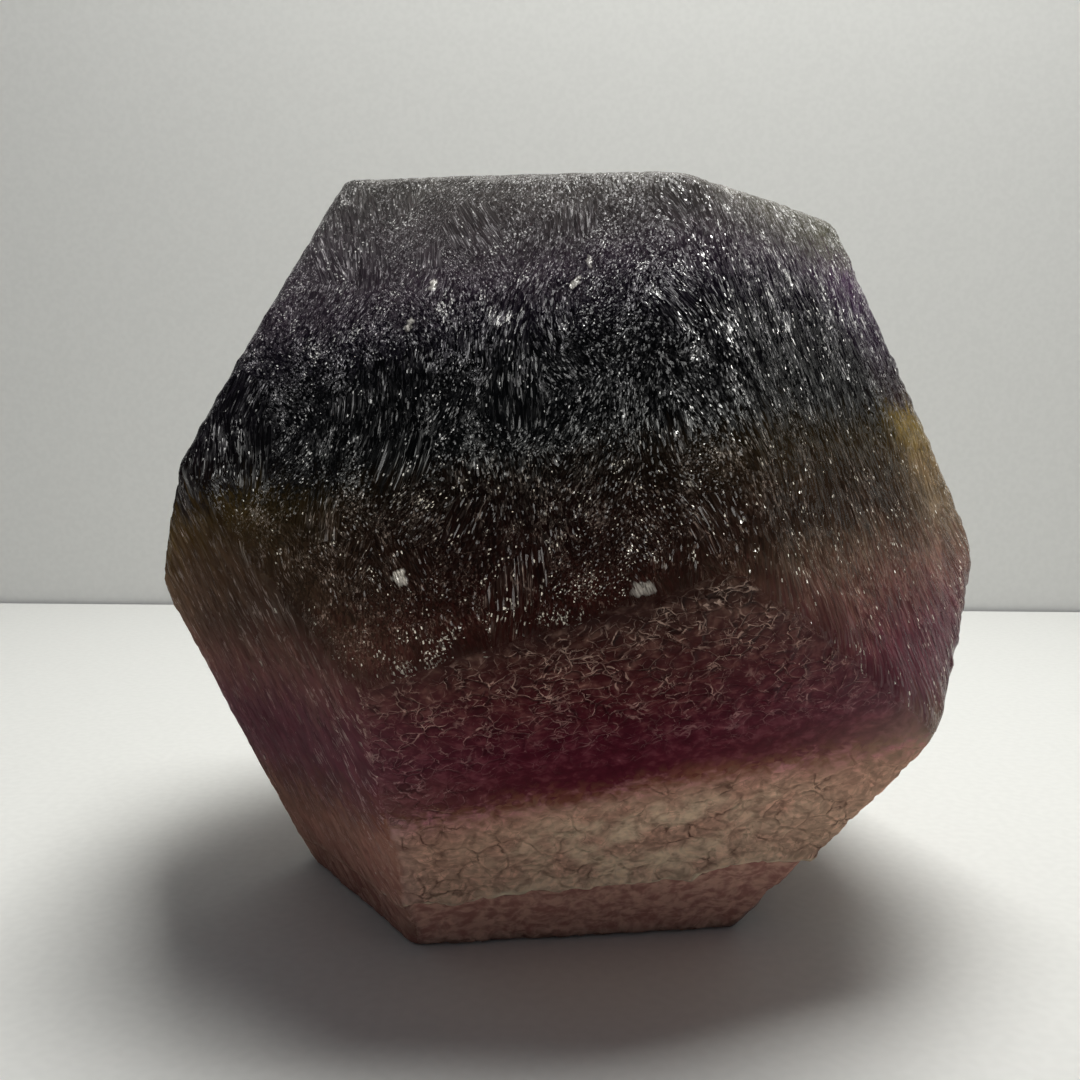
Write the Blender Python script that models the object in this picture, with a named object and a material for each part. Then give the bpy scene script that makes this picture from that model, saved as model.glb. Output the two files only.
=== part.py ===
"""Banded fluorite ground as a dodecahedron: one solid stone that rests on a flat face.

Metres, +Z up. The origin is under the middle of the stone's bounding box, on the
surface that it rests on. The front of the stone faces -Y.
"""
import math
from itertools import combinations

import bmesh
import bpy
import numpy as np

# ---------------------------------------------------------------- driving sizes
EDGE = 0.034            # edge length of the regular dodecahedron that the stone follows
FRONT_TURN = 213.8      # azimuth of the first face of the lower ring, degrees
ROUND_WIDTH = 0.0020    # how far the ground-over edges reach into each face
ROUND_SEGMENTS = 4      # facets across each rounded edge

# The stone is ground by hand, so no face sits exactly where the regular solid has it.
# face: (lean up in degrees, swing sideways in degrees, how far it stands proud in mm)
# "upper" faces are numbered round from the front, seen from above anticlockwise,
# "lower" faces likewise; the bottom face is the one it rests on and is exact.
FACE_TRIM = {
    "top":     (-1.5, -3.0,  0.5),
    "upper_0": ( 2.5,  4.5,  0.1),
    "upper_1": (-3.0, -1.5,  0.9),
    "upper_2": (-7.5, -8.0, -1.1),
    "upper_3": ( 0.0,  0.0,  0.0),
    "upper_4": ( 2.0,  6.0,  1.3),
    "lower_0": ( 4.0, -0.5, -0.7),
    "lower_1": (-5.5, -6.5, -0.1),
    "lower_2": (-6.0,  0.0,  0.0),
    "lower_3": ( 0.0,  0.0,  0.0),
    "lower_4": ( 3.5,  2.5, -0.4),
    "bottom":  ( 0.0,  0.0,  0.0),
}

# How strongly each edge is worn, as a share of ROUND_WIDTH. The edges of the upper
# right face are rounded over most, the left end of the top and the foot least.
WEAR_DEFAULT = 0.8
WEAR = {
    ("top", "upper_1"): 1.0,
    ("upper_0", "upper_1"): 1.0,
    ("upper_1", "lower_1"): 1.0,
    ("upper_1", "lower_2"): 0.9,
    ("top", "upper_4"): 0.45,
    ("upper_0", "upper_4"): 0.6,
    ("lower_1", "lower_2"): 0.6,
    ("bottom", "lower_0"): 0.6,
    ("bottom", "lower_1"): 0.6,
}

# ---------------------------------------------------------------- regular solid
GOLDEN = (1 + math.sqrt(5)) / 2
INRADIUS = EDGE * GOLDEN ** 2 / (2 * math.sqrt(3 - GOLDEN))   # centre to face
RING_ELEVATION = math.atan(0.5)                               # of a ring face's normal
CENTRE = np.array([0.0, 0.0, INRADIUS])                       # resting on z = 0


def face_normals():
    """Outward normals of the regular dodecahedron that stands on a face."""
    normals = {"top": np.array([0.0, 0.0, 1.0]), "bottom": np.array([0.0, 0.0, -1.0])}
    c, s = math.cos(RING_ELEVATION), math.sin(RING_ELEVATION)
    for k in range(5):
        low = math.radians(FRONT_TURN + 72 * k)
        up = low + math.radians(36)
        normals[f"lower_{k}"] = np.array([c * math.cos(low), c * math.sin(low), -s])
        normals[f"upper_{k}"] = np.array([c * math.cos(up), c * math.sin(up), s])
    return normals


def ground_plane(name, normal):
    """The face as ground: its plane (unit normal, offset), from FACE_TRIM."""
    lean, swing, proud_mm = FACE_TRIM[name]
    point = CENTRE + normal * (INRADIUS + proud_mm / 1000)
    if abs(normal[2]) > 0.99:                # top or bottom: sideways is along the turn
        t = math.radians(FRONT_TURN)
        across = np.array([math.cos(t), math.sin(t), 0.0])
        upward = np.array([-math.sin(t), math.cos(t), 0.0])
    else:
        across = np.cross([0.0, 0.0, 1.0], normal)
        across /= np.linalg.norm(across)
        upward = np.cross(normal, across)
    n = normal + math.tan(math.radians(lean)) * upward + math.tan(math.radians(swing)) * across
    n /= np.linalg.norm(n)
    return n, float(n @ point)


def corner_points(planes):
    """Corners of the convex solid inside all the planes, and the faces meeting there."""
    corners = []
    for trio in combinations(planes, 3):
        a = np.array([planes[f][0] for f in trio])
        if abs(np.linalg.det(a)) < 1e-6:
            continue
        p = np.linalg.solve(a, [planes[f][1] for f in trio])
        if all(n @ p <= d + 1e-7 for n, d in planes.values()):
            corners.append((p, set(trio)))
    return corners


def build_mesh(name):
    planes = {f: ground_plane(f, n) for f, n in face_normals().items()}
    corners = corner_points(planes)
    bm = bmesh.new()
    verts = [bm.verts.new(p) for p, _ in corners]
    loops = {}
    for f, (n, _) in planes.items():
        ring = [i for i, (_, touch) in enumerate(corners) if f in touch]
        mid = np.mean([corners[i][0] for i in ring], axis=0)
        u = np.cross(n, [0.31, 0.55, 0.77])
        u /= np.linalg.norm(u)
        v = np.cross(n, u)
        ring.sort(key=lambda i: math.atan2((corners[i][0] - mid) @ v, (corners[i][0] - mid) @ u))
        loops[bm.faces.new([verts[i] for i in ring])] = f
    bm.normal_update()

    # wear of each edge, read by the Bevel modifier as the edge's bevel weight
    weight = bm.edges.layers.float.new("bevel_weight_edge")
    for e in bm.edges:
        a, b = (loops[f] for f in e.link_faces)
        e[weight] = WEAR.get((a, b), WEAR.get((b, a), WEAR_DEFAULT))

    mesh = bpy.data.meshes.new(name)
    bm.to_mesh(mesh)
    bm.free()
    return mesh


def stone_material():
    mat = bpy.data.materials.new("banded_fluorite")
    mat.use_nodes = True
    shader = mat.node_tree.nodes["Principled BSDF"]
    shader.inputs["Base Color"].default_value = (0.16, 0.07, 0.10, 1.0)
    shader.inputs["Roughness"].default_value = 0.42
    shader.inputs["Metallic"].default_value = 0.0
    shader.inputs["IOR"].default_value = 1.434
    shader.inputs["Transmission Weight"].default_value = 0.5
    mat.diffuse_color = (0.16, 0.07, 0.10, 1.0)
    return mat


def main():
    for ob in list(bpy.data.objects):
        bpy.data.objects.remove(ob, do_unlink=True)

    name = "fluorite_dodecahedron"
    stone = bpy.data.objects.new(name, build_mesh(name))
    bpy.context.collection.objects.link(stone)
    stone.data.materials.append(stone_material())

    rounding = stone.modifiers.new("ground_edges", "BEVEL")
    rounding.limit_method = "WEIGHT"
    rounding.width = ROUND_WIDTH
    rounding.segments = ROUND_SEGMENTS
    rounding.profile = 0.5
    rounding.use_clamp_overlap = True

    # origin under the middle of the finished stone's bounding box
    bpy.context.view_layer.update()
    done = stone.evaluated_get(bpy.context.evaluated_depsgraph_get())
    pts = np.array([v.co[:] for v in done.data.vertices])
    low, high = pts.min(0), pts.max(0)
    shift = np.array([-(low[0] + high[0]) / 2, -(low[1] + high[1]) / 2, -low[2]])
    for v in stone.data.vertices:
        v.co = np.array(v.co) + shift
    stone.data.shade_smooth()
    stone.data.update()
    return shift


main()
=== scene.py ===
import math

import bpy
import numpy as np
from mathutils import Matrix, Vector


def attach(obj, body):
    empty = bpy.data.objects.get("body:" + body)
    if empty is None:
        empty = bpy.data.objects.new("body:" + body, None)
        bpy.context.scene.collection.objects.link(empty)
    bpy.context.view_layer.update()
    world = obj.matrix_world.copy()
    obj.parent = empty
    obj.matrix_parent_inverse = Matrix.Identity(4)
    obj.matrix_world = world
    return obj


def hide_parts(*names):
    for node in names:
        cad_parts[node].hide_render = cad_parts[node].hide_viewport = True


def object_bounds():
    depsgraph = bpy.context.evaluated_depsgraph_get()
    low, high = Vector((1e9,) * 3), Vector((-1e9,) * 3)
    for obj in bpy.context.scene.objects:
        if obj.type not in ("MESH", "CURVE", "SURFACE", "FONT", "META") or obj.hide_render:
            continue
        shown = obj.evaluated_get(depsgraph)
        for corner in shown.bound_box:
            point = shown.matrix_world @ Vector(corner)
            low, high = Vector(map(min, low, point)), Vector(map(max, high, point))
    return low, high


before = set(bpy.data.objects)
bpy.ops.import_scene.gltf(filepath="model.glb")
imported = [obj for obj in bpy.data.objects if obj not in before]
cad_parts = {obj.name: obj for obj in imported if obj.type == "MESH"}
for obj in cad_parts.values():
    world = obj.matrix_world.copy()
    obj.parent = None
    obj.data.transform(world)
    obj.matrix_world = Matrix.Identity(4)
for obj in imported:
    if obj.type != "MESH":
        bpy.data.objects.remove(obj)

CAD_BOX = [list(v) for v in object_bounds()]
NODE = "fluorite_dodecahedron"

# =====================================================================================
# The ground form, as in the CAD: millimetres, standing on z = 0
# =====================================================================================
EDGE = 34.0
FRONT_TURN = 213.8
SHIFT = np.array([0.475, 0.241, 0.0])        # puts the origin under the middle of the box
FACE_TRIM = {                                # lean up, swing sideways (deg), proud (mm)
    "top":     (-1.5, -3.0,  0.5),
    "upper_0": ( 2.5,  4.5,  0.1),
    "upper_1": (-3.0, -1.5,  0.9),
    "upper_2": (-7.5, -8.0, -1.1),
    "upper_3": ( 0.0,  0.0,  0.0),
    "upper_4": ( 2.0,  6.0,  1.3),
    "lower_0": ( 4.0, -0.5, -0.7),
    "lower_1": (-5.5, -6.5, -0.1),
    "lower_2": (-6.0,  0.0,  0.0),
    "lower_3": ( 0.0,  0.0,  0.0),
    "lower_4": ( 3.5,  2.5, -0.4),
    "bottom":  ( 0.0,  0.0,  0.0),
}
FACES = list(FACE_TRIM)
GOLDEN = (1 + math.sqrt(5)) / 2
INRADIUS = EDGE * GOLDEN ** 2 / (2 * math.sqrt(3 - GOLDEN))
RING_ELEVATION = math.atan(0.5)
CENTRE = np.array([0.0, 0.0, INRADIUS]) + SHIFT

# Growth banding: the planes of equal colour lean by about twelve degrees
BAND_UP = np.array([-0.154, 0.128, 0.980])
BAND_UP = BAND_UP / np.linalg.norm(BAND_UP)
BAND_SHIFT = float(BAND_UP @ SHIFT)          # level 0 is at the foot of the stone


def unit(v):
    v = np.asarray(v, float)
    return v / np.linalg.norm(v, axis=-1, keepdims=True)


def ground_planes():
    """Unit normals (12, 3), offsets (12,) and face middles (12, 3) of the ground faces."""
    c, s = math.cos(RING_ELEVATION), math.sin(RING_ELEVATION)
    normals, offsets, middles = [], [], []
    for name in FACES:
        if name == "top":
            base = np.array([0.0, 0.0, 1.0])
        elif name == "bottom":
            base = np.array([0.0, 0.0, -1.0])
        else:
            ring, k = name.split("_")
            az = math.radians(FRONT_TURN + 72 * int(k) + (36 if ring == "upper" else 0))
            base = np.array([c * math.cos(az), c * math.sin(az), s if ring == "upper" else -s])
        lean, swing, proud = FACE_TRIM[name]
        if abs(base[2]) > 0.99:
            t = math.radians(FRONT_TURN)
            across = np.array([math.cos(t), math.sin(t), 0.0])
            upward = np.array([-math.sin(t), math.cos(t), 0.0])
        else:
            across = unit(np.cross([0.0, 0.0, 1.0], base))
            upward = np.cross(base, across)
        n = unit(base + math.tan(math.radians(lean)) * upward + math.tan(math.radians(swing)) * across)
        p = CENTRE + base * (INRADIUS + proud)
        normals.append(n)
        offsets.append(float(n @ p))
        middles.append(p)
    return np.array(normals), np.array(offsets), np.array(middles)


NORMALS, OFFSETS, MIDDLES = ground_planes()

# =====================================================================================
# Seeded noise on arrays of points
# =====================================================================================
def _hash(ix, iy, iz, seed):
    h = (ix.astype(np.uint64) * np.uint64(0x9E3779B1) ^ iy.astype(np.uint64) * np.uint64(0x85EBCA77)
         ^ iz.astype(np.uint64) * np.uint64(0xC2B2AE3D)) + np.uint64(seed * 7919 + 101)
    h &= np.uint64(0xFFFFFFFF)
    h ^= h >> np.uint64(15)
    h = (h * np.uint64(0x2C1B3C6D)) & np.uint64(0xFFFFFFFF)
    h ^= h >> np.uint64(12)
    h = (h * np.uint64(0x297A2D39)) & np.uint64(0xFFFFFFFF)
    h ^= h >> np.uint64(15)
    return h


def _rand(ix, iy, iz, seed):
    return _hash(ix, iy, iz, seed).astype(np.float64) / 4294967295.0


def perlin(p, seed=0):
    """Gradient noise in about -1..1, one unit per cell."""
    p = np.asarray(p, float) + 1000.0
    i = np.floor(p).astype(np.int64)
    f = p - i
    w = f * f * f * (f * (f * 6 - 15) + 10)
    out = np.zeros(len(p))
    for dx in (0, 1):
        for dy in (0, 1):
            for dz in (0, 1):
                h = _hash(i[:, 0] + dx, i[:, 1] + dy, i[:, 2] + dz, seed)
                a = (h & np.uint64(0xFFFF)).astype(float) / 65535.0 * 2 * math.pi
                z = ((h >> np.uint64(16)) & np.uint64(0xFFFF)).astype(float) / 65535.0 * 2 - 1
                r = np.sqrt(1 - z * z)
                d = (r * np.cos(a) * (f[:, 0] - dx) + r * np.sin(a) * (f[:, 1] - dy) + z * (f[:, 2] - dz))
                wx = w[:, 0] if dx else 1 - w[:, 0]
                wy = w[:, 1] if dy else 1 - w[:, 1]
                wz = w[:, 2] if dz else 1 - w[:, 2]
                out += d * wx * wy * wz
    return out * 1.5


def fbm(p, octaves=3, seed=0, gain=0.5):
    out, amp, tot = 0.0, 1.0, 0.0
    q = np.asarray(p, float)
    for k in range(octaves):
        out = out + amp * perlin(q, seed + 17 * k)
        tot += amp
        amp *= gain
        q = q * 2.03 + 5.7
    return out / tot


def cells(p, seed=0, jitter=0.9, points=False):
    """Worley cells: distance to the nearest point, to the second nearest, and a random value
    of the cell; with points=True also the two points themselves."""
    p = np.asarray(p, float) + 1000.0
    i = np.floor(p).astype(np.int64)
    d1 = np.full(len(p), 9.0)
    d2 = np.full(len(p), 9.0)
    cid = np.zeros(len(p))
    q1 = np.zeros_like(p)
    q2 = np.zeros_like(p)
    for dx in (-1, 0, 1):
        for dy in (-1, 0, 1):
            for dz in (-1, 0, 1):
                jx, jy, jz = i[:, 0] + dx, i[:, 1] + dy, i[:, 2] + dz
                px = jx + 0.5 + jitter * (_rand(jx, jy, jz, seed) - 0.5)
                py = jy + 0.5 + jitter * (_rand(jx, jy, jz, seed + 1) - 0.5)
                pz = jz + 0.5 + jitter * (_rand(jx, jy, jz, seed + 2) - 0.5)
                d = np.sqrt((p[:, 0] - px) ** 2 + (p[:, 1] - py) ** 2 + (p[:, 2] - pz) ** 2)
                near = d < d1
                second = ~near & (d < d2)
                if points:
                    q = np.stack([px, py, pz], 1)
                    q2 = np.where(near[:, None], q1, np.where(second[:, None], q, q2))
                    q1 = np.where(near[:, None], q, q1)
                d2 = np.where(near, d1, np.where(second, d, d2))
                cid = np.where(near, _rand(jx, jy, jz, seed + 3), cid)
                d1 = np.where(near, d, d1)
    if points:
        return d1, d2, cid, q1 - 1000.0, q2 - 1000.0
    return d1, d2, cid


def seams(q, tris, seed, jitter=0.9):
    """A value for each corner of each triangle that runs through zero on the borders of the
    cells, so that a shader can draw the borders thinner than the triangles are."""
    middle = q[tris].mean(1)
    _, _, _, a, b = cells(middle, seed, jitter, points=True)
    corner = q[tris]
    above = np.where((a - b) @ BAND_UP >= 0, 1.0, -1.0)          # positive above the border
    d = np.linalg.norm(corner - b[:, None], axis=2) - np.linalg.norm(corner - a[:, None], axis=2)
    return (d * above[:, None]).reshape(-1)


def contour(f, p, eps=0.04):
    """Distance in mm to where the noise f(p) is zero: a line drawn there is equally wide
    everywhere."""
    v = f(p)
    g = np.stack([f(p + np.array(e) * eps) - v for e in ((1, 0, 0), (0, 1, 0), (0, 0, 1))], 1) / eps
    d = np.clip(v / np.maximum(np.linalg.norm(g, axis=1), 0.30), -2, 2)
    return np.where(g @ BAND_UP < 0, -d, d)


def smooth(x, lo, hi):
    t = np.clip((x - lo) / (hi - lo), 0, 1)
    return t * t * (3 - 2 * t)


def stretched(p, across, along):
    """Points squeezed along the fibres: `across` and `along` are the feature sizes in mm."""
    lift = p @ BAND_UP
    flat = p - lift[:, None] * BAND_UP
    return flat / across + (lift / along)[:, None] * BAND_UP

# =====================================================================================
# The stone's surface
# =====================================================================================
def fan_directions(n):
    """Directions and triangles of a regular dodecahedron whose faces are cut evenly: each
    pentagon is five triangles, and each of those is n by n."""
    c, s = math.cos(RING_ELEVATION), math.sin(RING_ELEVATION)
    fn = [np.array([0, 0, 1.0]), np.array([0, 0, -1.0])]
    for k in range(5):
        lo = math.radians(FRONT_TURN + 72 * k)
        up = lo + math.radians(36)
        fn.append(np.array([c * math.cos(lo), c * math.sin(lo), -s]))
        fn.append(np.array([c * math.cos(up), c * math.sin(up), s]))
    fn = np.array(fn)
    corners = []
    for a in range(12):
        for b in range(a + 1, 12):
            for d in range(b + 1, 12):
                m = fn[[a, b, d]]
                if abs(np.linalg.det(m)) < 1e-6:
                    continue
                v = np.linalg.solve(m, np.ones(3))
                if (fn @ v <= 1 + 1e-9).all():
                    corners.append(v)
    corners = np.array(corners)
    tris = []
    for f in fn:
        ring = [i for i in range(20) if abs(f @ corners[i] - 1) < 1e-9]
        u = unit(np.cross(f, [0.31, 0.55, 0.77]))
        v = np.cross(f, u)
        ring.sort(key=lambda i: math.atan2(corners[i] @ v, corners[i] @ u))
        for j in range(5):
            tris.append((f, corners[ring[j]], corners[ring[(j + 1) % 5]]))
    pts, faces = [], []
    idx = np.array([(i, j) for i in range(n + 1) for j in range(n + 1 - i)])
    lookup = {(i, j): k for k, (i, j) in enumerate(map(tuple, idx))}
    local = []
    for i in range(n):
        for j in range(n - i):
            local.append((lookup[i, j], lookup[i + 1, j], lookup[i, j + 1]))
            if j < n - i - 1:
                local.append((lookup[i + 1, j], lookup[i + 1, j + 1], lookup[i, j + 1]))
    local = np.array(local)
    for t, (o, a, b) in enumerate(tris):
        wa, wb = idx[:, :1] / n, idx[:, 1:] / n
        pts.append(o * (1 - wa - wb) + a * wa + b * wb)
        faces.append(local + t * len(idx))
    pts, faces = np.vstack(pts), np.vstack(faces)
    key = np.round(pts * 1e5).astype(np.int64)
    _, first, inverse = np.unique(key, axis=0, return_index=True, return_inverse=True)
    inverse = inverse.reshape(-1)
    return unit(pts[first]), inverse[faces]


def crowd(d, towards, k):
    """Moves directions over the sphere so that they stand closer together round one of
    them: a conformal map, so the triangles keep their shape."""
    t = unit(towards)
    x = d @ t                                     # height over the far pole
    flat = d - x[:, None] * t
    r = np.sqrt((1 + x) / (1 - x + 1e-12))        # stereographic radius, reversed
    r = 1 / np.maximum(r, 1e-9) / k
    x2 = (1 - r * r) / (1 + r * r)
    s2 = 2 * r / (1 + r * r)
    fl = np.linalg.norm(flat, axis=1, keepdims=True)
    flat = np.where(fl > 1e-9, flat / np.maximum(fl, 1e-9), 0)
    return x2[:, None] * t + s2[:, None] * flat


DOME = 0.30            # how far each face's middle stands out over its corners, mm
SOFTEN = 0.42          # size of the rounding over the edges, mm
WORN = {               # pairs of faces whose edge is worn more (or less) than the rest
    ("top", "upper_1"): 1.5, ("upper_0", "upper_1"): 5.0, ("upper_1", "lower_1"): 3.0,
    ("upper_1", "lower_2"): 1.5, ("upper_1", "upper_2"): 1.2, ("top", "upper_4"): 0.7,
    ("upper_0", "upper_4"): 0.8, ("lower_1", "lower_2"): 0.8,
    ("bottom", "lower_0"): 0.8, ("bottom", "lower_1"): 0.8,
}


def form(p):
    """Signed distance-like field of the ground form with domed faces and worn edges,
    its gradient, and the share of each face at the point."""
    d = p @ NORMALS.T - OFFSETS
    rel = p[:, None, :] - MIDDLES[None]
    rho2 = (rel ** 2).sum(-1) - (np.einsum("ijk,jk->ij", rel, NORMALS)) ** 2
    dome = np.where(np.array([n != "bottom" for n in FACES]), DOME, 0.0)
    d = d - dome * (1 - rho2 / 28.9 ** 2)
    # worn edges: the softening grows where two faces of a worn pair are both near
    w0 = np.exp((d - d.max(1, keepdims=True)) / 2.6)
    w0 /= w0.sum(1, keepdims=True)
    k = np.full(len(p), SOFTEN)
    for (a, b), wear in WORN.items():
        ia, ib = FACES.index(a), FACES.index(b)
        both = smooth(4 * w0[:, ia] * w0[:, ib], 0.0, 1.0) * (1 - smooth(w0[:, 0], 0.0, 0.5))
        if "top" in (a, b):
            both = smooth(4 * w0[:, ia] * w0[:, ib], 0.0, 1.0)
        k = k + SOFTEN * (wear - 1) * both
    top = d.max(1, keepdims=True)
    e = np.exp((d - top) / k[:, None])
    s = e.sum(1)
    value = top[:, 0] + k * np.log(s)
    share = e / s[:, None]
    grad = share @ NORMALS
    return value, grad, share


def project(directions, rounds=7):
    """Points of the ground form along each direction from the middle of the stone."""
    t = np.full(len(directions), INRADIUS * 1.1)
    for _ in range(rounds):
        p = CENTRE + directions * t[:, None]
        v, g, _ = form(p)
        t = t - v / np.maximum((g * directions).sum(1), 0.2)
    return CENTRE + directions * t[:, None]


def band_level(p):
    """Height over the foot of the stone, counted across the growth bands, in mm."""
    return p @ BAND_UP - BAND_SHIFT


def wander(p, size, amount, seed):
    """Points shifted by a slow noise, so that straight patterns bend and fan out."""
    q = p / size
    return p + amount * np.stack([perlin(q, seed), perlin(q + 31.0, seed + 1), perlin(q + 57.0, seed + 2)], 1)


NET_SHARE = {"lower_1": 1.0, "lower_3": 0.9, "lower_2": 0.35, "lower_0": 0.0, "lower_4": 0.55, "bottom": 0.3}
# how the etching runs on each face: length of the needles in mm, how far their bundles lean
# from one another (tangent), how much frost stands on the face, how steep its chips are
GRAIN = {
    "top": (0.7, 0.5, 0.8, 0.7, 1.6), "upper_0": (2.10, 0.42, 1.00, 0.95, 1.0),
    "upper_1": (2.6, 0.12, 1.00, 0.95, 1.2), "upper_2": (2.2, 0.16, 0.9, 0.9, 1.3),
    "upper_3": (1.7, 0.28, 0.9, 1.0, 1.0), "upper_4": (1.9, 0.20, 0.95, 0.9, 1.3),
    "lower_0": (3.8, 0.07, 2.3, 0.8, 4.0), "lower_1": (1.8, 0.15, 0.6, 0.3, 1.0),
    "lower_2": (2.8, 0.12, 1.1, 0.7, 1.8), "lower_3": (1.8, 0.15, 0.6, 0.3, 1.0),
    "lower_4": (2.4, 0.15, 0.8, 0.7, 1.5), "bottom": (0.8, 0.5, 0.6, 0.4, 1.5),
}


# pale flecks: middle (mm), half width, half height, turn (deg), strength
FLECKS = (
    ((-13.2, -39.3, 41.2), 0.55, 1.00, 20, 0.85), ((6.8, -44.3, 41.3), 1.05, 0.70, 10, 0.72),
    ((-11.5, -25.4, 66.4), 0.40, 0.75, 15, 1.0), ((-13.6, -26.8, 62.7), 0.40, 0.80, -25, 1.0),
    ((1.6, -28.7, 66.5), 0.38, 0.75, -35, 0.9), ((2.9, -27.9, 68.5), 0.36, 0.70, 5, 0.8),
    ((16.8, -39.0, 32.9), 0.40, 0.36, 0, 0.3), ((10.8, -40.5, 49.4), 0.55, 0.90, 10, 0.5),
)


def face_weights(p, width):
    d = p @ NORMALS.T - OFFSETS
    w = np.exp((d - d.max(1, keepdims=True)) / width)
    return w / w.sum(1, keepdims=True)


def by_face(weights, table, k=None):
    return sum(weights[:, FACES.index(f)] * (v if k is None else v[k]) for f, v in table.items())


def relief(p, n, share):
    """Height of the etched surface over the ground form in mm, and the masks and fields
    that the colours are drawn from."""
    level = band_level(p)
    soft = face_weights(p, 0.9)
    net_face = by_face(soft, NET_SHARE)
    pick = lambda f: soft[:, FACES.index(f)]
    rim = 1 - soft.max(1)                                       # near an edge
    # the edges that the hand blurred most carry no nicks
    blurred = smooth(4 * pick("upper_0") * pick("upper_1"), 0.02, 0.4)
    blurred = np.maximum(blurred, smooth(4 * pick("upper_1") * pick("lower_1"), 0.02, 0.4))
    edge_near = smooth(rim, 0.05, 0.5) * (1 - 0.9 * blurred)

    border = fbm(p / 5.0, 3, 11)
    net = smooth(net_face + 0.35 * border * (1 - np.abs(2 * net_face - 1)), 0.35, 0.65)
    fib = 1 - net

    # hand-ground faces are never quite flat
    h = 0.16 * fbm(p / 15.0, 2, 3) + 0.07 * fbm(p / 5.5, 2, 5)

    # fibrous etching along the growth direction
    pw = wander(p, 11.0, 1.6, 21)
    a = stretched(pw, 1.25, 6.5)
    b = stretched(pw, 0.85, 3.4)
    ridge_a = 1 - 2 * np.abs(perlin(a, 41))
    ridge_b = 1 - 2 * np.abs(perlin(b, 43))
    tuft = fbm(stretched(p, 2.6, 4.2), 2, 47)                    # clumps of longer fibres
    strength = np.clip(0.75 + 0.9 * tuft, 0.2, 1.6)
    fibre = (0.55 * ridge_a + 0.45 * ridge_b) * strength
    quiet = smooth(level, 15.0, 30.0)                            # calmer low down
    h += fib * (0.050 + 0.075 * quiet) * fibre
    crest = 0.5 * ridge_a + 0.5 * ridge_b
    low, high = np.quantile(crest, (0.15, 0.80))
    crest = smooth(crest, low, high)

    # net of thin ridges, wider than tall
    q = wander(p, 2.4, 0.8, 61)
    q = wander(q, 1.0, 0.26, 67)
    q = wander(q, 0.55, 0.10, 68)
    lift = q @ BAND_UP
    webspace = (q - lift[:, None] * BAND_UP) / 1.9 + (lift / 1.25)[:, None] * BAND_UP
    d1, d2, cid = cells(webspace, 71)
    web = np.exp(-((d2 - d1) / 0.20) ** 2)
    def squeezed(x, across, along):
        up = x @ BAND_UP
        return (x - up[:, None] * BAND_UP) / across + (up / along)[:, None] * BAND_UP
    wave = contour(lambda x: perlin(squeezed(x, 2.3, 1.35) + 3.7, 73), q)
    band = smooth(level, 17.0, 21.0)
    patch = 0.25 + 0.75 * smooth(fbm(p / 2.4, 2, 79), -0.40, 0.25)
    h += net * band * (0.06 * web * patch + 0.04 * (cid - 0.5) + 0.04 * np.exp(-(wave / 0.25) ** 2) * patch)

    # cracked crust over the cream band
    cream = (1 - smooth(level + 1.2 * border, 12.5, 17.5)) * (0.25 + 0.75 * net)
    q = wander(p, 3.0, 0.9, 81)
    q = wander(q, 1.1, 0.25, 82)
    crustspace = q / 2.7
    finespace = q / 1.25 + 7.0
    e1, e2, eid = cells(crustspace, 83)
    f1, f2, fid = cells(finespace, 87)
    crack = np.exp(-((e2 - e1) / 0.13) ** 2)
    crack2 = np.exp(-((f2 - f1) / 0.20) ** 2)
    crust = 0.17 * (eid - 0.5) + 0.08 * (fid - 0.5) - 0.13 * crack - 0.06 * crack2
    h += cream * crust

    # the crust breaks off in a ledge near the foot
    rise = p[:, 2] - (7.2 + 0.11 * p[:, 0] + 1.5 * fbm(p / 9.0, 2, 91) + 0.8 * fbm(p / 2.6, 2, 93))
    below = 1 - smooth(rise, -0.25, 0.25)
    side = 1 - smooth(soft[:, FACES.index("bottom")], 0.1, 0.5)
    h -= 0.60 * below * side * (0.25 + 0.75 * net)
    lip = np.exp(-((rise - 0.6) / 0.5) ** 2)
    h += 0.24 * lip * side * net

    # grain, nibbled edges
    h += 0.030 * fbm(p / 1.0, 2, 97)
    nick = smooth(fbm(p / 1.7, 2, 101), 0.12, 0.5)
    h -= edge_near * (0.08 + 0.22 * nick)
    nib = cells(p / 1.5, 105)
    bitten = smooth(4 * pick("upper_2") * pick("upper_1"), 0.02, 0.4) + smooth(4 * pick("lower_2") * pick("upper_1"), 0.02, 0.4)
    bitten = bitten + smooth(4 * pick("lower_2") * pick("lower_1"), 0.02, 0.4)
    h += edge_near * (0.10 + 0.16 * bitten) * (nib[2] - 0.5) + (0.35 * fib + 1.3 * edge_near) * 0.14 * (0.42 - nib[0])

    # the foot is worn flat: it meets the table in one plane
    foot = smooth(soft[:, FACES.index("bottom")], 0.35, 0.75)
    h = h * (1 - foot) + foot * np.minimum(h * 0.3 - 0.03, 0.0)

    # the borders of the bands sway slowly and fray along the fibres
    sway = 1.5 * fbm(p / 14.0, 2, 121)
    fray = 1.3 * fbm(stretched(p, 1.1, 2.6), 2, 123)
    clump = smooth(fbm(stretched(pw, 2.4, 6.0), 2, 125), -0.40, 0.40)
    pits = smooth(fbm(stretched(pw, 1.1, 2.0), 2, 127), -0.30, 0.35)
    column = smooth(perlin(stretched(wander(p, 9.0, 1.2, 161), 1.9, 15.0), 163), -0.22, 0.16)
    # sparkling flecks, painted near-white as painted highlights and given a coat: a row where the dark front face bends
    # round into the lower face, clusters, the top
    turn = smooth(4 * face_weights(p, 1.6)[:, FACES.index("upper_0")]
                  * face_weights(p, 1.6)[:, FACES.index("lower_1")], 0.15, 0.8)
    speck = smooth(fbm(p / 2.2, 3, 131), 0.05, 0.5)
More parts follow.
